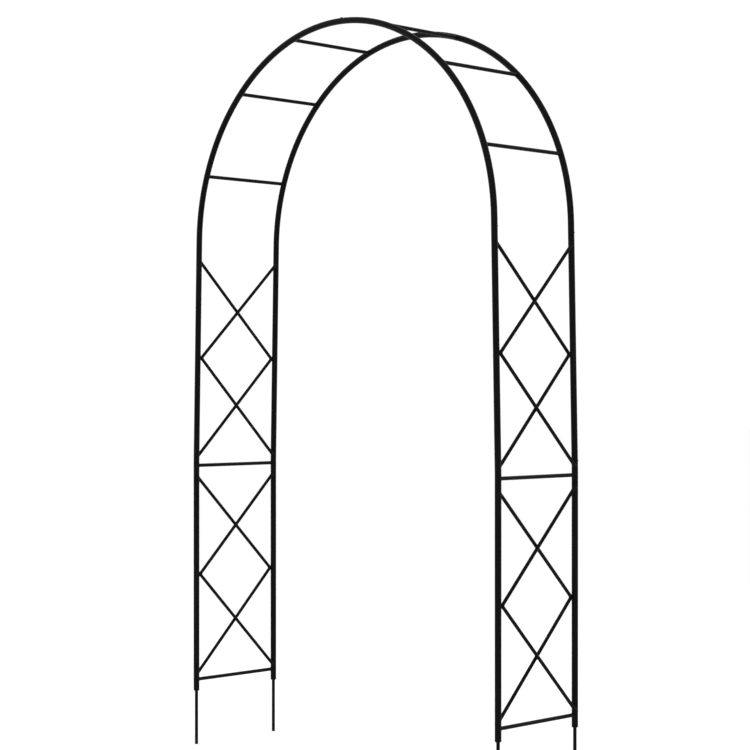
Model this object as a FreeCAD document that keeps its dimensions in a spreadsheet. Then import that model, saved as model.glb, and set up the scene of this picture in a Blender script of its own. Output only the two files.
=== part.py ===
import FreeCAD, Part

import math
import os

import Sketcher

# Free-standing garden arch of two hoops of round steel tube. Each hoop is a straight lower leg, a
# straight upper leg that leans in and a quarter arch on each side, plugged into one another. Rungs and bent
# lattice rods join the two hoops, and the arch stands on four ground stakes.
# X runs across the walkway, Y through it, Z up. The origin is on the ground under the middle,
# level with the tips of the stakes.

# name, value in mm (or degrees), what it sets
SIZES = (
    ("overall_width", 1400, "outside of one leg to the outside of the other"),
    ("overall_depth", 375, "front of the front hoop to the back of the back hoop"),
    ("overall_height", 2400, "tips of the stakes to the top of the arch"),
    ("tube_diameter", 20, "hoop tube, outside"),
    ("tube_wall", 0.8, "wall of the hoop tube"),
    ("lower_leg_length", 788, "straight lower leg, foot to seam"),
    ("side_lean", 1.15, "lean of the upper legs, in degrees"),
    ("spigot_length", 40, "necked end that plugs into the next tube"),
    ("neck_length", 2, "shoulder inside the tube behind the spigot"),
    ("fit_clearance", 0.1, "radial gap of a plug in a tube"),
    ("seam_chamfer", 0.3, "broken edge at each tube seam"),
    ("rung_diameter", 12, "straight rung tube, outside"),
    ("rung_wall", 0.8, "wall of the rung tube"),
    ("bottom_rung_height", 37, "bottom rung above the leg's foot"),
    ("middle_rung_drop", 16, "middle rung below the seam of the lower leg"),
    ("arch_rung_low", 20, "degrees up the arch of its lowest rung"),
    ("arch_rung_middle", 47, "degrees up the arch of its middle rung"),
    ("arch_rung_high", 72.5, "degrees up the arch of its highest rung"),
    ("rod_diameter", 11, "lattice rod, outside"),
    ("rod_wall", 0.8, "wall of the lattice rod"),
    ("rod_bend_radius", 8, "centre line of the bend that touches a leg"),
    ("rod_end_inset", 4, "end of a rod's centre line short of the leg's axis"),
    ("rod_above_rung", 14, "start of the lower lattice above the bottom rung"),
    ("rod_below_rung", 34, "end of the lower lattice below the middle rung"),
    ("rod_above_seam", 9, "start of the upper lattice above the seam"),
    ("rod_below_arch", 65, "end of the upper lattice below the arch"),
    ("node_share", 0.505, "height of the bend as a share of its panel"),
    ("weld_gap", 0.05, "gap left for the weld between a rod or rung and a tube"),
    ("stake_diameter", 11, "ground stake"),
    ("stake_shank_diameter", 9, "end of the stake that the foot plug holds"),
    ("stake_relief", 1, "shank left bare between the plug and the stake's shoulder"),
    ("stake_exposed", 185, "stake tip to the leg's foot"),
    ("stake_grip", 37, "stake held above the leg's foot"),
    ("stake_tip_chamfer", 1.5, "chamfer round the stake's tip"),
    ("stake_clearance", 0.05, "radial gap of the stake in its plug"),
    ("plug_stem_length", 46, "foot plug inside the leg"),
    ("plug_cone_height", 3, "foot plug below the leg"),
    ("plug_cone_end", 12, "diameter at the small end of the foot plug"),
    ("screw_diameter", 4.2, "joint screw's shank"),
    ("screw_length", 10, "joint screw under its head, tip included"),
    ("screw_tip_length", 3, "tapered tip of the joint screw"),
    ("screw_head_diameter", 8, "joint screw's pan head"),
    ("screw_head_height", 1.5, "joint screw's pan head"),
    ("screw_slot_width", 0.9, "one arm of the cross recess"),
    ("screw_slot_length", 4.4, "tip to tip of the cross recess"),
    ("screw_slot_depth", 0.8, "depth of the cross recess"),
    ("screw_hole_clearance", 0.1, "radial gap round the screw"),
    ("screw_inset", 28, "screw from the seam that it locks"),
)

# Values that follow from the sizes, in the order in which they are worked out.
LAYOUT = (
    ("half_width", "(sizes.overall_width - sizes.tube_diameter) / 2"),
    ("hoop_offset", "(sizes.overall_depth - sizes.tube_diameter) / 2"),
    ("tube_radius", "sizes.tube_diameter / 2"),
    ("bore_radius", "layout.tube_radius - sizes.tube_wall"),
    ("spigot_radius", "layout.bore_radius - sizes.fit_clearance"),
    ("spigot_bore", "layout.spigot_radius - sizes.tube_wall"),
    ("rung_radius", "sizes.rung_diameter / 2"),
    ("rung_bore", "layout.rung_radius - sizes.rung_wall"),
    ("rod_radius", "sizes.rod_diameter / 2"),
    ("rod_bore", "layout.rod_radius - sizes.rod_wall"),
    ("foot_height", "sizes.stake_exposed"),
    ("seam_height", "layout.foot_height + sizes.lower_leg_length"),
    ("apex_height", "sizes.overall_height - layout.tube_radius"),
    # The upper leg leans in and meets the arch in line with it.
    ("lean_tangent", "tan(sizes.side_lean * 1deg)"),
    ("crown_ratio", "(1 - sin(sizes.side_lean * 1deg)) / cos(sizes.side_lean * 1deg)"),
    ("lean_rise", "(layout.apex_height - layout.seam_height - layout.half_width * layout.crown_ratio)"
                  " / (1 - layout.lean_tangent * layout.crown_ratio)"),
    ("seam_lift", "layout.tube_radius * sin(sizes.side_lean * 1deg)"),
    ("upper_leg_length", "(layout.lean_rise - layout.seam_lift) / cos(sizes.side_lean * 1deg)"),
    ("spring_height", "layout.seam_height + layout.lean_rise"),
    ("spring_half_width", "layout.half_width - layout.lean_rise * layout.lean_tangent"),
    ("arch_radius", "layout.spring_half_width / cos(sizes.side_lean * 1deg)"),
    ("arch_centre", "layout.apex_height - layout.arch_radius"),
    ("degrees_per_mm", "180 / (pi * layout.arch_radius)"),
    ("spigot_sweep", "sizes.spigot_length * layout.degrees_per_mm"),
    ("neck_sweep", "sizes.neck_length * layout.degrees_per_mm"),
    ("apex_screw_turn", "sizes.screw_inset * layout.degrees_per_mm"),
    ("bottom_rung", "layout.foot_height + sizes.bottom_rung_height"),
    ("middle_rung", "layout.seam_height - sizes.middle_rung_drop"),
    # The two rods of a panel pass each other side by side at their crossings.
    ("rod_offset", "layout.rod_radius + sizes.weld_gap / 2"),
    ("rod_end", "layout.hoop_offset - sizes.rod_end_inset"),
    ("touch_distance", "layout.tube_radius + layout.rod_radius + sizes.weld_gap"),
    ("lower_start", "layout.bottom_rung + sizes.rod_above_rung"),
    ("lower_length", "layout.middle_rung - sizes.rod_below_rung - layout.lower_start"),
    ("lower_tilt", "0"),
    ("lower_inset", "0"),
    # The upper panel leans with its legs.
    ("upper_start", "layout.seam_height + sizes.rod_above_seam"),
    ("upper_tilt", "sizes.side_lean"),
    ("upper_inset", "sizes.rod_above_seam * layout.lean_tangent"),
    ("upper_length", "(layout.lean_rise - sizes.rod_below_arch - sizes.rod_above_seam)"
                     " / cos(sizes.side_lean * 1deg)"),
    ("screw_hole_radius", "sizes.screw_diameter / 2 + sizes.screw_hole_clearance"),
)

SIDES = (("left", -1), ("right", 1))
HOOPS = (("front", -1), ("back", 1))
AXIS_X = FreeCAD.Vector(1, 0, 0)
AXIS_Y = FreeCAD.Vector(0, 1, 0)
AXIS_Z = FreeCAD.Vector(0, 0, 1)
ORIGIN = -1
START, END, CENTRE = 1, 2, 3

doc = FreeCAD.newDocument("trellis_arch")
nodes = []


def fill_sheet():
    sheet = doc.addObject("Spreadsheet::Sheet", "sizes")
    for row, (name, value, meaning) in enumerate(SIZES, start=1):
        sheet.set("A%d" % row, name)
        sheet.set("B%d" % row, str(value))
        sheet.set("C%d" % row, meaning)
        sheet.setAlias("B%d" % row, name)
    doc.recompute()


def fill_layout():
    layout = doc.addObject("App::VarSet", "layout")
    for name, expression in LAYOUT:
        layout.addProperty("App::PropertyFloat", name, "Layout")
        layout.setExpression(name, expression)
    doc.recompute()


def bind(item, expressions):
    for path, expression in expressions.items():
        item.setExpression(path, expression)


def signed(sign, expression):
    return expression if sign > 0 else "-(%s)" % expression


def place(item, shift, axis=AXIS_Y, turn="0"):
    """Placement with its position and its turn about one axis tied to the sheet."""
    item.Placement = FreeCAD.Placement(FreeCAD.Vector(), FreeCAD.Rotation(axis, 1))
    bind(item, {"Placement.Base." + letter: expression for letter, expression in shift.items()})
    item.setExpression("Placement.Rotation.Angle", turn)


def keep(item, name):
    """Mark an object as one finished piece of the arch."""
    item.Label = name
    nodes.append(item)
    return item


def new_body(name):
    return doc.addObject("PartDesign::Body", name)


def origin_plane(body, role):
    return next(plane for plane in body.Origin.OriginFeatures if plane.Role == role)


def attach(feature, body, role, shift, turn=None, flip=False):
    """Lay a feature on one of its body's own planes. Shift and turn are expressions."""
    feature.AttachmentSupport = [(origin_plane(body, role), "")]
    feature.MapMode = "FlatFace"
    if turn:
        feature.AttachmentOffset = FreeCAD.Placement(FreeCAD.Vector(), FreeCAD.Rotation(AXIS_Y, 1))
        feature.setExpression("AttachmentOffset.Rotation.Angle", turn)
    if flip:
        feature.AttachmentOffset = FreeCAD.Placement(FreeCAD.Vector(), FreeCAD.Rotation(AXIS_Y, 180))
    bind(feature, {"AttachmentOffset.Base." + letter: value for letter, value in shift.items()})


def constrain(sketch, expression, *constraint):
    """Add a measured constraint whose value follows an expression."""
    number = sketch.addConstraint(Sketcher.Constraint(*constraint))
    sketch.setExpression("Constraints[%d]" % number, expression)


def section(body, name, role, radii, shift, turn=None, reach=None):
    """Circles round one centre: one for a solid bar, two for a tube. Reach sets the centre off
    along the sketch's own X, so that a revolution about its Y makes a bent bar."""
    sketch = body.newObject("Sketcher::SketchObject", name)
    attach(sketch, body, role, shift, turn)
    for number, radius in enumerate(radii):
        sketch.addGeometry(Part.Circle(FreeCAD.Vector(), AXIS_Z, 2 - number))
        constrain(sketch, radius, "Radius", number, 2 - number)
    for number in range(1, len(radii)):
        sketch.addConstraint(Sketcher.Constraint("Coincident", number, CENTRE, 0, CENTRE))
    if reach:
        constrain(sketch, reach, "DistanceX", ORIGIN, START, 0, CENTRE, 100)
        sketch.addConstraint(Sketcher.Constraint("PointOnObject", 0, CENTRE, ORIGIN))
    else:
        sketch.addConstraint(Sketcher.Constraint("Coincident", 0, CENTRE, ORIGIN, START))
    return sketch


def pad(body, name, sketch, length, down=False, behind=None):
    """Thicken a sketch up or down from its plane, and behind the plane too if asked."""
    feature = body.newObject("PartDesign::Pad", name)
    feature.Profile = sketch
    feature.Reversed = down
    feature.setExpression("Length", length)
    if behind:
        feature.SideType = "Two sides"
        feature.setExpression("Length2", behind)
    return feature


def bend(body, kind, name, sign, radii, arc, start, end):
    """A length of round bar, tube or bore round an arc in the hoop's plane. The angles are
    degrees up from the horizontal on the bar's own side. Arc is its centre and its radius."""
    across, up, reach = arc
    if sign < 0:
        start, end = "180 - (%s)" % end, "180 - (%s)" % start
    sketch = section(body, name + "_section", "XY_Plane", radii, {"x": across, "z": up},
                     "-(%s)" % start, reach)
    feature = body.newObject("PartDesign::" + kind, name)
    feature.Profile = sketch
    feature.ReferenceAxis = (sketch, ["V_Axis"])
    feature.Reversed = True
    feature.setExpression("Angle", "(%s) - (%s)" % (end, start))
    return feature


def pocket(body, name, sketch, below, above):
    """Cut a sketch both ways from its plane."""
    feature = body.newObject("PartDesign::Pocket", name)
    feature.Profile = sketch
    feature.SideType = "Two sides"
    feature.setExpression("Length", below)
    feature.setExpression("Length2", above)


def round_edges(body, radius, centre):
    """Names of the tip's circular edges of one radius round one point."""
    names = []
    for number, edge in enumerate(body.Tip.Shape.Edges, start=1):
        curve = edge.Curve
        if not isinstance(curve, Part.Circle):
            continue
        if abs(curve.Radius - radius) < 1e-4 and curve.Center.distanceToPoint(centre) < 1e-3:
            names.append("Edge%d" % number)
    return names


def break_edge(body, name, centre, size, radius):
    """Chamfer the round edge at a point, to a named size."""
    doc.recompute()
    edges = round_edges(body, radius, centre)
    if len(edges) != 1:
        raise RuntimeError("%s: %d edges to chamfer" % (body.Name, len(edges)))
    base = body.Tip
    feature = body.newObject("PartDesign::Chamfer", name)
    feature.Base = (base, edges)
    feature.setExpression("Size", size)
    doc.recompute()


def primitive(body, kind, name, sizes, shift, role="XY_Plane"):
    feature = body.newObject("PartDesign::" + kind, name)
    attach(feature, body, role, shift)
    bind(feature, sizes)
    return feature


def group(name, members):
    compound = doc.addObject("Part::Compound", name)
    compound.Links = members
    return compound


def cut(name, base, tool):
    """One finished piece: base less tool. It has to lose something, and stay in one piece."""
    item = doc.addObject("Part::Cut", name)
    item.Base = base
    item.Tool = tool
    doc.recompute()
    if not item.Shape.Volume < base.Shape.Volume - 1e-3:
        raise RuntimeError(name + " loses nothing to its cut")
    if len(item.Shape.Solids) != 1:
        raise RuntimeError("%s is in %d pieces" % (name, len(item.Shape.Solids)))
    return keep(item, name)


# Hoops

def screw_place(joint, sign):
    """Where a joint's screw sits on the tube's axis, and its turn about Y from upright."""
    if joint != "apex":
        aside, along = "%s * sin(sizes.side_lean * 1deg)", "%s * cos(sizes.side_lean * 1deg)"
        inset = "sizes.screw_inset" if joint == "seam" else "-sizes.screw_inset"
        half_width = "layout.half_width" if joint == "seam" else "layout.spring_half_width"
        spot = {
            "x": signed(sign, "%s - %s" % (half_width, aside % inset)),
            "z": "layout.%s_height + %s" % (joint, along % inset),
        }
        return spot, signed(sign, "90 - sizes.side_lean")
    turn = "layout.apex_screw_turn"
    spot = {
        "x": "layout.arch_radius * sin(%s * 1deg)" % turn,
        "z": "layout.arch_centre + layout.arch_radius * cos(%s * 1deg)" % turn,
    }
    return spot, turn


def make_drill(name, joint, sign, depth):
    """The hole that a joint screw passes through: one wall of the outer tube and its spigot."""
    drill = doc.addObject("Part::Cylinder", name)
    bind(drill, {"Radius": "layout.screw_hole_radius", "Height": "sizes.tube_diameter"})
    spot, turn = screw_place(joint, sign)
    place(drill, dict(spot, y=depth), AXIS_Y, turn)
    return drill


def make_lower_leg(name, sign, depth, drills):
    """Straight tube whose top is necked into a spigot, which leans with the upper leg."""
    body = new_body(name + "_tube")
    foot = {"x": signed(sign, "layout.half_width"), "z": "layout.foot_height"}
    seam = dict(foot, z="layout.seam_height")
    lean = signed(-sign, "sizes.side_lean")
    bar = section(body, name + "_bar", "XY_Plane", ["layout.tube_radius"], foot)
    pad(body, name + "_length", bar, "sizes.lower_leg_length")
    top = FreeCAD.Vector(sign * layout.half_width, 0, layout.seam_height)
    break_edge(body, name + "_shoulder", top, "sizes.seam_chamfer", layout.tube_radius)
    plug = section(body, name + "_plug", "XY_Plane", ["layout.spigot_radius"], seam, lean)
    pad(body, name + "_spigot", plug, "sizes.spigot_length", behind="sizes.neck_length / 2")
    bore = section(body, name + "_bore", "XY_Plane", ["layout.bore_radius"], foot)
    pocket(body, name + "_tube_bore", bore, "sizes.neck_length",
           "sizes.lower_leg_length - sizes.neck_length")
    hole = section(body, name + "_hole", "XY_Plane", ["layout.spigot_bore"], seam, lean)
    pocket(body, name + "_spigot_bore", hole, "sizes.neck_length * 1.5", "sizes.spigot_length * 1.1")
    place(body, {"y": depth})
    cut(name, body, group(name + "_drills", drills))


def make_upper_leg(name, sign, depth, drills):
    """Plain tube that leans in, open at both ends. Its square foot stands on the seam by one edge."""
    body = new_body(name + "_tube")
    across = "layout.half_width - layout.seam_lift * layout.lean_tangent"
    wall = section(body, name + "_wall", "XY_Plane", ["layout.tube_radius", "layout.bore_radius"],
                   {"x": signed(sign, across), "z": "layout.seam_height + layout.seam_lift"},
                   signed(-sign, "sizes.side_lean"))
    pad(body, name + "_length", wall, "layout.upper_leg_length")
    place(body, {"y": depth})
    cut(name, body, group(name + "_drills", drills))


def make_arch_tube(name, sign, depth, drills, apex_spigot):
    """Quarter circle of tube whose foot is necked into a straight spigot. One of each pair has a
    bent spigot at the apex as well, for the other to slide over."""
    body = new_body(name + "_tube")
    arc = ("0", "layout.arch_centre", "layout.arch_radius")
    bend(body, "Revolution", name + "_quarter", sign, ["layout.tube_radius"], arc, "sizes.side_lean", "90")
    spring = {"x": signed(sign, "layout.spring_half_width"), "z": "layout.spring_height"}
    lean = signed(-sign, "sizes.side_lean")
    plug = section(body, name + "_plug", "XY_Plane", ["layout.spigot_radius"], spring, lean)
    pad(body, name + "_spigot", plug, "sizes.spigot_length", down=True)
    bore_end = "90 + layout.neck_sweep"
    if apex_spigot:
        bore_end = "90 - layout.neck_sweep"
        bend(body, "Revolution", name + "_apex_spigot", sign, ["layout.spigot_radius"], arc,
             "90", "90 + layout.spigot_sweep")
    bend(body, "Groove", name + "_bore", sign, ["layout.bore_radius"], arc,
         "sizes.side_lean + layout.neck_sweep", bore_end)
    hole = section(body, name + "_hole", "XY_Plane", ["layout.spigot_bore"], spring, lean)
    pocket(body, name + "_spigot_bore", hole, "sizes.spigot_length * 1.1", "sizes.neck_length * 1.5")
    if apex_spigot:
        bend(body, "Groove", name + "_apex_bore", sign, ["layout.spigot_bore"], arc,
             "90 - 2 * layout.neck_sweep", "90 + layout.spigot_sweep + layout.neck_sweep")
    place(body, {"y": depth})
    cut(name, body, group(name + "_drills", drills))


def make_screw(name, joint, sign, depth):
    """Pan-head screw, its seat on the tube and its shank pointing at the tube's axis."""
    body = new_body(name)
    head_radius = "sizes.screw_head_diameter / 2"
    seat = "layout.tube_radius"
    primitive(body, "AdditiveCylinder", name + "_head",
              {"Radius": head_radius, "Height": "sizes.screw_head_height"}, {"z": seat})
    primitive(body, "AdditiveCylinder", name + "_shank",
              {"Radius": "sizes.screw_diameter / 2",
               "Height": "sizes.screw_length - sizes.screw_tip_length"},
              {"z": seat + " - sizes.screw_length + sizes.screw_tip_length"})
    primitive(body, "AdditiveCone", name + "_tip",
              {"Radius1": "sizes.screw_diameter / 8", "Radius2": "sizes.screw_diameter / 2",
               "Height": "sizes.screw_tip_length"},
              {"z": seat + " - sizes.screw_length"})
    doc.recompute()
    crown = FreeCAD.Vector(0, 0, layout.tube_radius + sizes.screw_head_height)
    rim = round_edges(body, sizes.screw_head_diameter / 2, crown)
    base = body.Tip
    dome = body.newObject("PartDesign::Fillet", name + "_dome")
    dome.Base = (base, rim)
    dome.setExpression("Radius", "min(sizes.screw_head_height; sizes.screw_head_diameter / 2) * 0.6")
    doc.recompute()
    for suffix, along, across in (("slot", "Length", "Width"), ("cross_slot", "Width", "Length")):
        letters = {"Length": "x", "Width": "y"}
        before = body.Tip.Shape.Volume
        primitive(body, "SubtractiveBox", name + "_" + suffix,
                  {along: "sizes.screw_slot_length", across: "sizes.screw_slot_width",
                   "Height": "sizes.screw_slot_depth"},
                  {letters[along]: "-sizes.screw_slot_length / 2",
                   letters[across]: "-sizes.screw_slot_width / 2",
                   "z": seat + " + sizes.screw_head_height - sizes.screw_slot_depth"})
        doc.recompute()
        if not body.Tip.Shape.Volume < before:
            raise RuntimeError(name + " has no recess")
    spot, turn = screw_place(joint, sign)
    place(body, dict(spot, y=depth), AXIS_Y, turn)
    return body


def make_hoops():
    screws = []
    for hoop, way in HOOPS:
        depth = signed(way, "layout.hoop_offset")
        apex_drill = make_drill(hoop + "_apex_drill", "apex", 1, depth)
        screws.append(make_screw(hoop + "_apex_screw", "apex", 1, depth))
        for side, sign in SIDES:
            place_name = hoop + "_" + side
            drills = {}
            for joint in ("seam", "spring"):
                drills[joint] = make_drill("%s_%s_drill" % (place_name, joint), joint, sign, depth)
                screws.append(make_screw("%s_%s_screw" % (place_name, joint), joint, sign, depth))
            make_lower_leg(place_name + "_lower_leg", sign, depth, [drills["seam"]])
            make_upper_leg(place_name + "_upper_leg", sign, depth, [drills["seam"], drills["spring"]])
            make_arch_tube(place_name + "_arch_tube", sign, depth, [drills["spring"], apex_drill],
                           apex_spigot=side == "left")
    keep(group("joint_screws", screws), "joint_screws")


# Rungs and lattice, whose ends are shaped to the tubes that they are welded to

def make_tube_solids():
    """Solid bars where the hoop tubes run, a weld gap larger, for shaping the ends that meet them."""
    radius = "layout.tube_radius + sizes.weld_gap"
    zones = {}
    upright = FreeCAD.Rotation(AXIS_X, 90)
    for hoop, way in HOOPS:
        depth = signed(way, "layout.hoop_offset")
        arch = doc.addObject("Part::Torus", hoop + "_arch_bar")
        arch.Placement = FreeCAD.Placement(FreeCAD.Vector(), upright)
        bind(arch, {"Radius1": "layout.arch_radius", "Radius2": radius, "Angle3": "180",
                    "Placement.Base.y": depth, "Placement.Base.z": "layout.arch_centre"})
        zones.setdefault("arch", []).append(arch)
        for side, sign in SIDES:
            leg = doc.addObject("Part::Cylinder", "%s_%s_leg_bar" % (hoop, side))
            bind(leg, {"Radius": radius, "Height": "sizes.lower_leg_length"})
            place(leg, {"x": signed(sign, "layout.half_width"), "y": depth, "z": "layout.foot_height"})
            zones.setdefault(side + "_leg", []).append(leg)
            lean = doc.addObject("Part::Cylinder", "%s_%s_lean_bar" % (hoop, side))
            bind(lean, {"Radius": radius, "Height": "layout.upper_leg_length"})
            place(lean, {"x": signed(sign, "layout.half_width"), "y": depth, "z": "layout.seam_height"},
                  AXIS_Y, signed(-sign, "sizes.side_lean"))
            zones.setdefault(side + "_lean", []).append(lean)
    return {zone: group(zone + "_bars", bars) for zone, bars in zones.items()}


def make_rung(name, across, height, bars):
    body = new_body(name + "_bar")
    wall = section(body, name + "_wall", "XZ_Plane", ["layout.rung_radius", "layout.rung_bore"],
                   {"x": across, "y": height})
    length = pad(body, name + "_length", wall, "layout.hoop_offset * 2")
    length.SideType = "Symmetric"
    cut(name, body, bars)


def make_rungs(bars):
    for side, sign in SIDES:
        leg = signed(sign, "layout.half_width")
        make_rung(side + "_bottom_rung", leg, "layout.bottom_rung", bars[side + "_leg"])
        make_rung(side + "_middle_rung", leg, "layout.middle_rung", bars[side + "_leg"])
        for level in ("low", "middle", "high"):
            angle = "(sizes.arch_rung_%s * 1deg)" % level
            across = signed(sign, "layout.arch_radius * cos%s" % angle)
            height = "layout.arch_centre + layout.arch_radius * sin%s" % angle
            make_rung("%s_arch_rung_%s" % (side, level), across, height, bars["arch"])


def half_path(body, name, aside, flip, node, node_height, rise, upward):
    """Half of a bent rod's centre line: from the bend's outermost point, round the bend and
    straight to the rod's end at the far leg. The sketch's origin is level with the bend."""
    sketch = body.newObject("Sketcher::SketchObject", name)
    attach(sketch, body, "YZ_Plane", {"y": node_height, "z": aside}, flip=flip)
    # A first shape near the solved one, with the bend through an eighth of a turn.
    radius = sizes.rod_bend_radius
    centre = FreeCAD.Vector(layout.hoop_offset - radius, 0, 0)
    turn = math.pi / 4 if upward else -math.pi / 4
    arc = Part.ArcOfCircle(Part.Circle(centre, AXIS_Z, radius), min(0, turn), max(0, turn))
    leave = FreeCAD.Vector(centre.x + radius * math.cos(turn), radius * math.sin(turn), 0)
    far = FreeCAD.Vector(-layout.rod_end, math.copysign(2 * layout.rod_end, turn), 0)
    sketch.addGeometry(arc)
    sketch.addGeometry(Part.LineSegment(leave, far))
    at_node, at_line = (START, END) if upward else (END, START)
    constrain(sketch, "sizes.rod_bend_radius", "Radius", 0, radius)
    constrain(sketch, node + " - sizes.rod_bend_radius", "DistanceX", ORIGIN, START, 0, CENTRE, centre.x)
    sketch.addConstraint(Sketcher.Constraint("PointOnObject", 0, CENTRE, ORIGIN))
    sketch.addConstraint(Sketcher.Constraint("PointOnObject", 0, at_node, ORIGIN))
    sketch.addConstraint(Sketcher.Constraint("Tangent", 0, at_line, 1, START))
    constrain(sketch, "layout.rod_end", "DistanceX", 1, END, ORIGIN, START, layout.rod_end)
    ends = (ORIGIN, START, 1, END) if upward else (1, END, ORIGIN, START)
    constrain(sketch, rise, "DistanceY", *ends, abs(far.y))
    return sketch


def make_rod(name, panel, side, sign, outer):
    """One bent lattice rod. It runs from one hoop across to a bend that touches the other hoop's
    leg, and back. The outer rod passes outside its neighbour, away from the walkway."""
    way = -sign if outer else sign
    shift_out = "layout.rod_offset" if outer else "-layout.rod_offset"
    aside = signed(sign, shift_out)
    node = "(layout.hoop_offset - sqrt(layout.touch_distance ^ 2 - layout.rod_offset ^ 2))"
    node_height = "layout.%s_length * sizes.node_share" % panel
    body = new_body(name + "_bar")
    wall = section(body, name + "_wall", "XY_Plane", ["layout.rod_radius", "layout.rod_bore"],
                   {"x": aside, "y": signed(way, node), "z": node_height})
    for half, upward in (("upper", True), ("lower", False)):
        share = "(1 - sizes.node_share)" if upward else "sizes.node_share"
        rise = "layout.%s_length * %s" % (panel, share)
        path = half_path(body, "%s_%s_path" % (name, half), aside, way < 0, node, node_height, rise, upward)
        pipe = body.newObject("PartDesign::AdditivePipe", "%s_%s_half" % (name, half))
        pipe.Profile = wall
        pipe.Spine = (path, ["Edge1", "Edge2"])
    place(body, {"x": signed(sign, "layout.half_width - layout.%s_inset" % panel),
                 "z": "layout.%s_start" % panel}, AXIS_Y, signed(-sign, "layout.%s_tilt" % panel))
    return body


def make_lattice(bars):
    for side, sign in SIDES:
        for panel, zone in (("lower", side + "_leg"), ("upper", side + "_lean")):
            for layer, outer in (("outer", True), ("inner", False)):
                name = "%s_%s_lattice_rod_%s" % (side, panel, layer)
                body = make_rod(name, panel, side, sign, outer)
                cut(name, body, bars[zone])


# Feet

def make_foot_plug(name, across, depth):
    """Stepped plug: a stem inside the leg, a cone below it and a blind bore for the stake."""
    body = new_body(name)
    primitive(body, "AdditiveCylinder", name + "_stem",
              {"Radius": "layout.spigot_radius", "Height": "sizes.plug_stem_length"}, {})
    primitive(body, "AdditiveCone", name + "_cone",
              {"Radius1": "sizes.plug_cone_end / 2", "Radius2": "layout.tube_radius",
               "Height": "sizes.plug_cone_height"}, {"z": "-sizes.plug_cone_height"})
    doc.recompute()
    before = body.Tip.Shape.Volume
    primitive(body, "SubtractiveCylinder", name + "_bore",
              {"Radius": "sizes.stake_shank_diameter / 2 + sizes.stake_clearance",
               "Height": "sizes.plug_cone_height + sizes.stake_grip"}, {"z": "-sizes.plug_cone_height"})
    doc.recompute()
    if not body.Tip.Shape.Volume < before:
        raise RuntimeError(name + " has no bore")
    place(body, {"x": across, "y": depth, "z": "layout.foot_height"})
    keep(body, name)


def make_stake(name, across, depth):
    """Round bar with a chamfered tip. Its thinner shank is held in the foot plug."""
    body = new_body(name)
    shoulder = "sizes.stake_exposed - sizes.plug_cone_height - sizes.stake_relief"
    primitive(body, "AdditiveCylinder", name + "_bar",
              {"Radius": "sizes.stake_diameter / 2", "Height": shoulder}, {})
    primitive(body, "AdditiveCylinder", name + "_shank",
              {"Radius": "sizes.stake_shank_diameter / 2",
               "Height": "sizes.stake_exposed + sizes.stake_grip"}, {})
    radius = sizes.stake_diameter / 2
    break_edge(body, name + "_tip", FreeCAD.Vector(), "sizes.stake_tip_chamfer", radius)
    place(body, {"x": across, "y": depth})
    keep(body, name)


def make_feet():
    for hoop, way in HOOPS:
        for side, sign in SIDES:
            across = signed(sign, "layout.half_width")
            depth = signed(way, "layout.hoop_offset")
            make_foot_plug("%s_%s_foot_plug" % (hoop, side), across, depth)
            make_stake("%s_%s_ground_stake" % (hoop, side), across, depth)


def check_document():
    for item in doc.Objects:
        if "Invalid" in item.State or "Error" in item.State:
            raise RuntimeError("%s failed: %s" % (item.Label, item.State))
    for node in nodes:
        if node.Shape.isNull() or not node.Shape.isValid():
            raise RuntimeError(node.Label + " has no valid shape")


def write_parts():
    os.makedirs("parts", exist_ok=True)
    for node in nodes:
        node.Shape.exportStep(os.path.join("parts", node.Label + ".step"))
        print("%-32s %2d solid(s) %10.1f mm3" % (node.Label, len(node.Shape.Solids), node.Shape.Volume))


fill_sheet()
fill_layout()
sizes = doc.getObject("sizes")
layout = doc.getObject("layout")
make_hoops()
tube_bars = make_tube_solids()
make_rungs(tube_bars)
make_lattice(tube_bars)
make_feet()
doc.recompute()
check_document()
write_parts()
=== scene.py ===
import math

import bmesh
import bpy
from mathutils import Matrix, Vector


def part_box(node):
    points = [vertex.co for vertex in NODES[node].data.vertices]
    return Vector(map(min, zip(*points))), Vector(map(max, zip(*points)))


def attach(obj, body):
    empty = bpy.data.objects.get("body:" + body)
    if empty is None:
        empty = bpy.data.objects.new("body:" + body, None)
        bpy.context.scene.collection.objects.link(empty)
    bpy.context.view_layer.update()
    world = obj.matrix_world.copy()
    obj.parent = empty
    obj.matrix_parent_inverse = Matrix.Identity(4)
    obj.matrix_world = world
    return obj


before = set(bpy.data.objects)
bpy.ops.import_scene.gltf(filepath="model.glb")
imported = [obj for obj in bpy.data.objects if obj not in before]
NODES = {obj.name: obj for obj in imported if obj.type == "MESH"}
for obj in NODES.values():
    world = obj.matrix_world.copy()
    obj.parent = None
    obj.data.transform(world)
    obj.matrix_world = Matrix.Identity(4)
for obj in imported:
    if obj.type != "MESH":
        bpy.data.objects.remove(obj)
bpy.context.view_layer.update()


# Shader graphs

class Wire:
    """A shader socket that can be used in sums."""

    def __init__(self, graph, socket):
        self.graph = graph
        self.socket = socket

    def _with(self, operation, *others):
        return self.graph.node("ShaderNodeMath", {"operation": operation}, *others)

    def __add__(self, other):
        return self._with("ADD", self, other)

    def __radd__(self, other):
        return self._with("ADD", other, self)

    def __sub__(self, other):
        return self._with("SUBTRACT", self, other)

    def __rsub__(self, other):
        return self._with("SUBTRACT", other, self)

    def __mul__(self, other):
        return self._with("MULTIPLY", self, other)

    def __rmul__(self, other):
        return self._with("MULTIPLY", other, self)

    def above(self, low, high):
        """0 below low, 1 over high, and smooth between."""
        settings = {"interpolation_type": "SMOOTHSTEP"}
        limits = {"From Min": low, "From Max": high}
        return self.graph.node("ShaderNodeMapRange", settings, Value=self, **limits)


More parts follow.
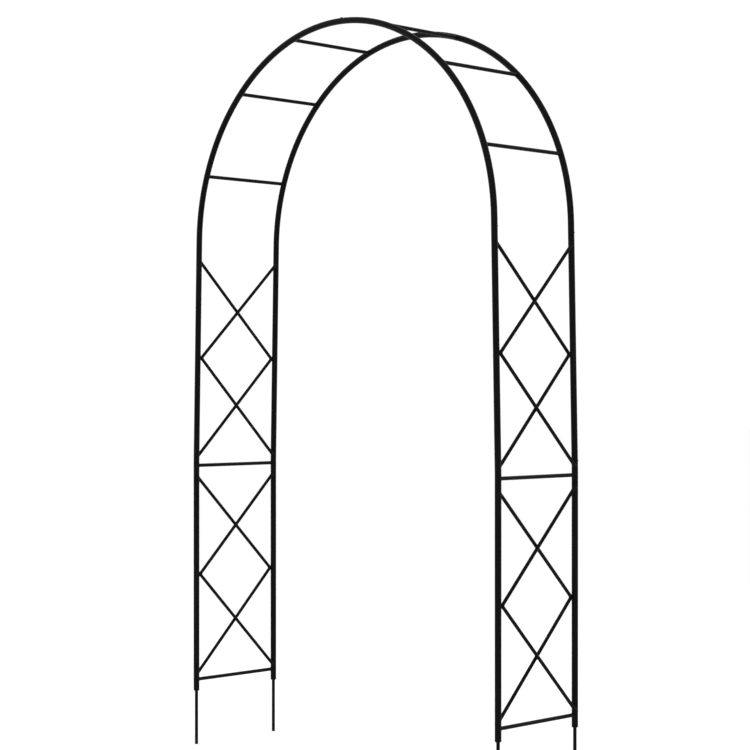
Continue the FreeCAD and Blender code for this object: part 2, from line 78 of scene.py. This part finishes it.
class Graph:
    """A material's node tree, built by calls."""

    def __init__(self, name):
        self.material = bpy.data.materials.new(name)
        self.material.use_nodes = True
        self.tree = self.material.node_tree
        self.shader = self.tree.nodes["Principled BSDF"]

    def node(self, kind, settings=None, *values, out=0, **named):
        """Add a node. Settings first, then the values or links of its sockets, by place or by name."""
        node = self.tree.nodes.new(kind)
        for key, value in (settings or {}).items():
            setattr(node, key, value)
        for key, value in list(enumerate(values)) + list(named.items()):
            self.feed(node.inputs[key], value)
        return Wire(self, node.outputs[out])

    def feed(self, socket, value):
        if isinstance(value, Wire):
            self.tree.links.new(value.socket, socket)
        else:
            socket.default_value = value

    def mix(self, share, first, second):
        """Blend two colours."""
        node = self.tree.nodes.new("ShaderNodeMix")
        node.data_type = "RGBA"
        self.feed(node.inputs["Factor"], share)
        for socket, value in zip([s for s in node.inputs if s.type == "RGBA"], (first, second)):
            self.feed(socket, value)
        return Wire(self, next(s for s in node.outputs if s.type == "RGBA"))

    def noise(self, where, scale, detail=2.0, roughness=0.5):
        return self.node("ShaderNodeTexNoise", None, Vector=where, Scale=scale, Detail=detail,
                         Roughness=roughness)

    def surface(self, **sockets):
        for name, value in sockets.items():
            self.feed(self.shader.inputs[name.replace("_", " ")], value)
        return self.material


def grey(level, tint=0.0):
    return (level, level, level * (1 + tint), 1.0)


def powder_coat(name, level, roughness, dust=0.35, grain=0.00034):
    """Baked black powder coat: orange peel, a fine pebble, faint handling marks and a little dust."""
    graph = Graph(name)
    place = graph.node("ShaderNodeTexCoord", None, out=3)
    peel = graph.noise(place, 330.0, 2.0, 0.45)
    pebble = graph.noise(place, 1300.0, 3.0, 0.6)
    cloud = graph.noise(place, 6.5, 4.0, 0.62)
    blotch = graph.noise(place, 31.0, 3.0, 0.55)
    speck = graph.noise(place, 520.0, 1.0, 0.4).above(0.66, 0.74)
    scuff = graph.noise(place, 74.0, 5.0, 0.7).above(0.63, 0.70) * cloud.above(0.46, 0.62)
    settled = cloud.above(0.42, 0.70) * blotch.above(0.35, 0.65) * dust
    coat = graph.mix(blotch.above(0.25, 0.75), grey(level * 0.82, 0.06), grey(level * 1.25, 0.10))
    dusty = graph.mix(settled, coat, grey(level * 2.1 + 0.0028, -0.10))
    worn = graph.mix(scuff * 0.65 + speck * 0.20, dusty, grey(level * 3.2 + 0.004, 0.02))
    height = peel + pebble * 0.28
    bump = graph.node("ShaderNodeBump", None, Strength=0.8, Distance=grain, Height=height)
    return graph.surface(Base_Color=worn, Metallic=0.0, Specular_IOR_Level=0.06, Coat_Weight=0.0,
                         Roughness=roughness + settled * 0.20 + scuff * 0.15 + (blotch - 0.5) * 0.16,
                         Normal=bump)


def stake_coat(name, level):
    """Coated bar that goes into soil: rubbed thinner and greyer towards its tip."""
    graph = Graph(name)
    place = graph.node("ShaderNodeTexCoord", None, out=3)
    up = graph.node("ShaderNodeSeparateXYZ", None, place, out=2)
    long_grain = graph.node("ShaderNodeMapping", None, Vector=place, Scale=(1.0, 1.0, 0.06))
    streak = graph.noise(long_grain, 900.0, 3.0, 0.6)
    peel = graph.noise(place, 300.0, 2.0, 0.45)
    cloud = graph.noise(place, 38.0, 4.0, 0.6)
    tip = 1 - up.above(0.002, 0.060)
    rub = streak.above(0.56, 0.70) * (tip * 0.55 + 0.06) * cloud.above(0.35, 0.6)
    coat = graph.mix(cloud.above(0.3, 0.7), grey(level * 0.85, 0.05), grey(level * 1.3, 0.08))
    bump = graph.node("ShaderNodeBump", None, Strength=0.5, Distance=0.00015, Height=peel + streak * 0.35)
    return graph.surface(Base_Color=graph.mix(rub, coat, grey(0.09, 0.0)), Normal=bump,
                         Specular_IOR_Level=0.06,
                         Metallic=rub * 0.7, Roughness=0.42 + cloud * 0.14 - rub * 0.10)


def screw_finish(name):
    """Blackened steel, bright only where a driver has turned in the recess."""
    graph = Graph(name)
    place = graph.node("ShaderNodeTexCoord", None, out=3)
    cloud = graph.noise(place, 900.0, 3.0, 0.6)
    fine = graph.noise(place, 3800.0, 2.0, 0.5)
    rub = cloud.above(0.55, 0.70)
    bump = graph.node("ShaderNodeBump", None, Strength=0.4, Distance=0.00006, Height=fine)
    return graph.surface(Base_Color=graph.mix(rub, grey(0.007, 0.05), grey(0.026, 0.02)), Normal=bump,
                         Metallic=0.75, Roughness=0.36 + cloud * 0.15)


def weld_finish(name, level):
    """Powder coat over a rippled weld: the same black, pooled a little smoother and glossier."""
    graph = Graph(name)
    place = graph.node("ShaderNodeTexCoord", None, out=3)
    lump = graph.noise(place, 420.0, 3.0, 0.55)
    fine = graph.noise(place, 1400.0, 2.0, 0.5)
    cloud = graph.noise(place, 90.0, 3.0, 0.55)
    coat = graph.mix(lump.above(0.3, 0.7), grey(level * 0.75, 0.05), grey(level * 1.35, 0.08))
    bump = graph.node("ShaderNodeBump", None, Strength=0.7, Distance=0.00035, Height=lump + fine * 0.25)
    return graph.surface(Base_Color=coat, Normal=bump, Roughness=0.33 + cloud * 0.16,
                         Specular_IOR_Level=0.07)


# Where the CAD pieces are, in metres

TUBE = (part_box("front_left_lower_leg")[1][0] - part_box("front_left_lower_leg")[0][0]) / 2
RUNG = (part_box("left_bottom_rung")[1][0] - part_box("left_bottom_rung")[0][0]) / 2
ROD = 0.0055
WELD_GAP = 0.00005
ROD_ASIDE = ROD + WELD_GAP / 2
ROD_BEND = 0.008
ROD_END_INSET = 0.004
LEAN = math.radians(1.15)
SEAM_HEIGHT = 0.973
NODE_SHARE = 0.505
TOUCH = TUBE + ROD + WELD_GAP
LOWER_PANEL_FOOT = 0.236
LOWER_PANEL_LENGTH = 0.687
ROD_ABOVE_SEAM = 0.009
ROD_BELOW_ARCH = 0.065
RUNG_BEAD = 0.0018
ROD_BEAD = 0.0016
CROSSING_TACK = (0.0050, 0.0050, 0.0018)
BEND_TACK = (0.0095, 0.0018, 0.0040)
BEAD_RUNS_OUT = 1.0    # share of the tube's radius where a bead that is off to one side dies out
BEAD_FADE = 0.28       # share of the radius that it thins over
BEAD_END = 0.10        # share of the bead's size that is left there
SIDES = (("left", -1), ("right", 1))
FRONT_TO_BACK = (-1, 1)


def middle(node):
    low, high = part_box(node)
    return Vector([(a + b) / 2 for a, b in zip(low, high)])


LEG = middle("front_right_foot_plug")
HALF_WIDTH, HOOP_OFFSET = LEG.x, -LEG.y
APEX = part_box("front_left_arch_tube")[1][2] - TUBE
CROWN = (1 - math.sin(LEAN)) / math.cos(LEAN)
LEAN_RISE = (APEX - SEAM_HEIGHT - HALF_WIDTH * CROWN) / (1 - math.tan(LEAN) * CROWN)
SPRING_RUN = LEAN_RISE / math.cos(LEAN)


def arch_frame(rung):
    """The hoop's direction where an arch rung meets it."""
    place = middle(rung)
    drop = APEX - place.z
    radius = (place.x ** 2 + drop ** 2) / (2 * drop)
    spoke = Vector((place.x, 0, place.z - (APEX - radius))).normalized()
    return Vector((-spoke.z, 0, spoke.x))


# Welds

def bead_section(mesh, radius, size):
    """A ring of weld round a bar that points up Z, before it is laid on the tube."""
    cut = bmesh.ops.create_circle(mesh, segments=10, radius=size)["verts"]
    turn = Matrix.Translation((radius, 0, 0)) @ Matrix.Rotation(math.pi / 2, 4, "X")
    bmesh.ops.transform(mesh, matrix=turn, verts=cut)
    edges = list({edge for vert in cut for edge in vert.link_edges})
    bmesh.ops.spin(mesh, geom=cut + edges, cent=(0, 0, 0), axis=(0, 0, 1), angle=math.tau,
                   steps=56, use_merge=True, use_duplicate=False)


def lay_bead(mesh, origin, along, out, tilt, aside, radius, size, phase):
    """Weld where a bar of one radius meets a tube. Origin is where their axes cross, along runs with
    the tube, out points from it to the bar, tilt turns the bar towards along, and aside moves it.
    Where the bar passes the tube's side, the bead dies out instead of hanging over."""
    across = along.cross(out)
    bar = out * math.cos(tilt) + along * math.sin(tilt)
    over = along * math.cos(tilt) - out * math.sin(tilt)
    piece = bmesh.new()
    bead_section(piece, radius, size)
    bmesh.ops.remove_doubles(piece, verts=piece.verts, dist=size * 0.05)
    for vert in piece.verts:
        x, y, z = vert.co
        turn = math.atan2(y, x)
        reach = math.hypot(x, y) - radius
        ripple = 1 + 0.16 * math.sin(13 * turn + phase) + 0.10 * math.sin(5 * turn + 2.3 * phase)
        ring_x, ring_y = radius * math.cos(turn), radius * math.sin(turn)
        wide = min(abs(ring_x + aside), TUBE * 0.999)
        fade = min(1.0, max(BEAD_END, (TUBE * BEAD_RUNS_OUT - abs(ring_x + aside)) / (TUBE * BEAD_FADE)))
        rise = (math.sqrt(TUBE ** 2 - wide ** 2) + ring_y * math.sin(tilt)) / math.cos(tilt)
        spread = radius + reach * ripple * fade
        local = Vector((spread * math.cos(turn), spread * math.sin(turn), rise + z * ripple * fade))
        vert.co = origin + across * (local.x + aside) + over * local.y + bar * local.z
    piece.normal_update()
    bmesh.ops.recalc_face_normals(piece, faces=piece.faces)
    join(mesh, piece)


def lay_tack(mesh, centre, long_way, wide_way, half_sizes, phase):
    """A short lump of weld in the crook of two bars that touch."""
    piece = bmesh.new()
    bmesh.ops.create_icosphere(piece, subdivisions=3, radius=1.0)
    third = long_way.cross(wide_way)
    for vert in piece.verts:
        x, y, z = vert.co
        ripple = 1 + 0.12 * math.sin(4.6 * x + phase) + 0.06 * math.sin(5 * math.atan2(z, y) + phase)
        local = Vector((x * half_sizes[0], y * half_sizes[1] * ripple, z * half_sizes[2] * ripple))
        vert.co = centre + long_way * local.x + wide_way * local.y + third * local.z
    piece.normal_update()
    bmesh.ops.recalc_face_normals(piece, faces=piece.faces)
    join(mesh, piece)


def join(mesh, piece):
    """Add one finished lump to the bmesh that holds its row of welds."""
    lump = bpy.data.meshes.new("lump")
    piece.to_mesh(lump)
    piece.free()
    mesh.from_mesh(lump)
    bpy.data.meshes.remove(lump)


def finish_piece(name, mesh, material):
    data = bpy.data.meshes.new(name)
    mesh.to_mesh(data)
    mesh.free()
    for face in data.polygons:
        face.use_smooth = True
    data.materials.append(material)
    piece = bpy.data.objects.new(name, data)
    bpy.context.scene.collection.objects.link(piece)
    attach(piece, "root")


def rung_welds(side):
    """A bead round both ends of each rung of one side."""
    mesh = bmesh.new()
    names = ["bottom_rung", "middle_rung", "arch_rung_low", "arch_rung_middle", "arch_rung_high"]
    for number, name in enumerate(names):
        rung = "%s_%s" % (side, name)
        place = middle(rung)
        along = arch_frame(rung) if "arch" in name else Vector((0, 0, 1))
        for way in FRONT_TO_BACK:
            origin = Vector((place.x, way * HOOP_OFFSET, place.z))
            lay_bead(mesh, origin, along, Vector((0, -way, 0)), 0.0, 0.0, RUNG, RUNG_BEAD,
                     number * 1.7 + way)
    return mesh


def lattice_panels(side, sign):
    """Foot, direction and length of the line that each lattice panel's rods start and end on."""
    upright = Vector((0, 0, 1))
    lower = Vector((sign * HALF_WIDTH, 0, LOWER_PANEL_FOOT))
    leaning = Vector((-sign * math.sin(LEAN), 0, math.cos(LEAN)))
    seam = Vector((sign * HALF_WIDTH, 0, SEAM_HEIGHT))
    upper = seam + leaning * (ROD_ABOVE_SEAM / math.cos(LEAN))
    upper_length = SPRING_RUN - (ROD_ABOVE_SEAM + ROD_BELOW_ARCH) / math.cos(LEAN)
    return (lower, upright, LOWER_PANEL_LENGTH), (upper, leaning, upper_length)


def lattice_welds(side, sign):
    """Beads at the rods' ends, and tacks at their crossings and where their bends touch the legs."""
    beads, tacks = bmesh.new(), bmesh.new()
    reach = math.sqrt(TOUCH ** 2 - ROD_ASIDE ** 2)
    bend = HOOP_OFFSET - reach - ROD_BEND
    end = HOOP_OFFSET - ROD_END_INSET
    for number, (foot, along, length) in enumerate(lattice_panels(side, sign)):
        outward = Vector((0, 1, 0)).cross(along)
        for way in FRONT_TO_BACK:
            aside = -ROD_ASIDE * way
            for rise, up in ((length * NODE_SHARE, 1), (length * (1 - NODE_SHARE), -1)):
                gap = math.hypot(end + bend, rise)
                tilt = math.atan2(rise, end + bend) - math.asin(ROD_BEND / gap)
                start = 0.0 if up > 0 else length
                shift = start - up * ROD_END_INSET * math.tan(tilt)
                origin = foot + along * shift + Vector((0, -way * HOOP_OFFSET, 0))
                out = Vector((0, way, 0))
                side_way = aside * (1 if along.cross(out).dot(outward) > 0 else -1)
                lay_bead(beads, origin, along, out, tilt * up, side_way, ROD, ROD_BEAD,
                         number * 2.1 + way + up)
                cross = foot + along * (start + up * end * math.tan(tilt))
                if way > 0:
                    lay_tack(tacks, cross, along, Vector((0, 1, 0)), CROSSING_TACK, number + up)
            node = foot + along * (length * NODE_SHARE) + Vector((0, way * HOOP_OFFSET, 0))
            touch = node + (outward * aside - Vector((0, way * reach, 0))) * (TUBE / TOUCH)
            wide = (outward * aside - Vector((0, way * reach, 0))).normalized()
            lay_tack(tacks, touch, along, wide, BEND_TACK, number * 3.1 + way)
    return beads, tacks


# Camera, light and floor

def build_camera():
    data = bpy.data.cameras.new("camera")
    data.lens = 93.47
    data.sensor_width = 36.0
    data.shift_y = 0.0166
    data.clip_end = 60.0
    camera = bpy.data.objects.new("camera", data)
    camera.location = (4.481, -4.474, 1.225)
    camera.rotation_euler = (math.pi / 2, 0, math.radians(45.04))
    bpy.context.scene.collection.objects.link(camera)
    bpy.context.scene.camera = camera


def soft_lamp(name, place, aim, size, power):
    data = bpy.data.lights.new(name, "AREA")
    data.shape = "RECTANGLE"
    data.size, data.size_y = size
    data.energy = power
    lamp = bpy.data.objects.new(name, data)
    lamp.location = place
    lamp.rotation_euler = (Vector(aim) - Vector(place)).to_track_quat("-Z", "Y").to_euler()
    bpy.context.scene.collection.objects.link(lamp)


def build_studio():
    bpy.context.scene.view_settings.view_transform = "Standard"
    world = bpy.data.worlds.new("studio")
    world.use_nodes = True
    world.node_tree.nodes["Background"].inputs["Color"].default_value = (1.0, 1.0, 1.0, 1.0)
    world.node_tree.nodes["Background"].inputs["Strength"].default_value = 1.03
    bpy.context.scene.world = world
    soft_lamp("key", (3.2, -3.6, 4.2), (0, 0, 1.2), (2.6, 2.6), 42.0)
    soft_lamp("fill", (-4.0, -2.2, 2.6), (0, 0, 1.2), (3.0, 3.0), 18.0)
    soft_lamp("rim", (0.5, 4.2, 3.4), (0, 0, 1.4), (3.0, 1.6), 26.0)
    mesh = bmesh.new()
    bmesh.ops.create_grid(mesh, x_segments=2, y_segments=2, size=60.0)
    data = bpy.data.meshes.new("floor")
    mesh.to_mesh(data)
    mesh.free()
    graph = Graph("pale_floor")
    data.materials.append(graph.surface(Base_Color=grey(0.97), Roughness=0.9))
    floor = bpy.data.objects.new("floor", data)
    bpy.context.scene.collection.objects.link(floor)


# Finishes of the CAD pieces

FINISHES = (
    ("_leg", powder_coat("tube_powder_coat", 0.0016, 0.38)),
    ("_arch_tube", powder_coat("arch_powder_coat", 0.0016, 0.37, dust=0.28)),
    ("_rung", powder_coat("rung_powder_coat", 0.0015, 0.39, dust=0.40)),
    ("_lattice_rod_outer", powder_coat("outer_rod_powder_coat", 0.0015, 0.40, dust=0.30)),
    ("_lattice_rod_inner", powder_coat("inner_rod_powder_coat", 0.0016, 0.39, dust=0.34)),
    ("_foot_plug", powder_coat("plug_powder_coat", 0.0015, 0.42, dust=0.45)),
    ("_ground_stake", stake_coat("stake_powder_coat", 0.0017)),
    ("joint_screws", screw_finish("blackened_screw")),
)
for node_name, node in NODES.items():
    for ending, finish in FINISHES:
        if ending in node_name:
            for holder in node.material_slots:
                holder.material = finish

WELD = weld_finish("coated_weld", 0.0017)
for side, sign in SIDES:
    finish_piece(side + "_rung_welds", rung_welds(side), WELD)
    bead_mesh, tack_mesh = lattice_welds(side, sign)
    finish_piece(side + "_lattice_end_welds", bead_mesh, WELD)
    finish_piece(side + "_lattice_tack_welds", tack_mesh, WELD)

build_camera()
build_studio()
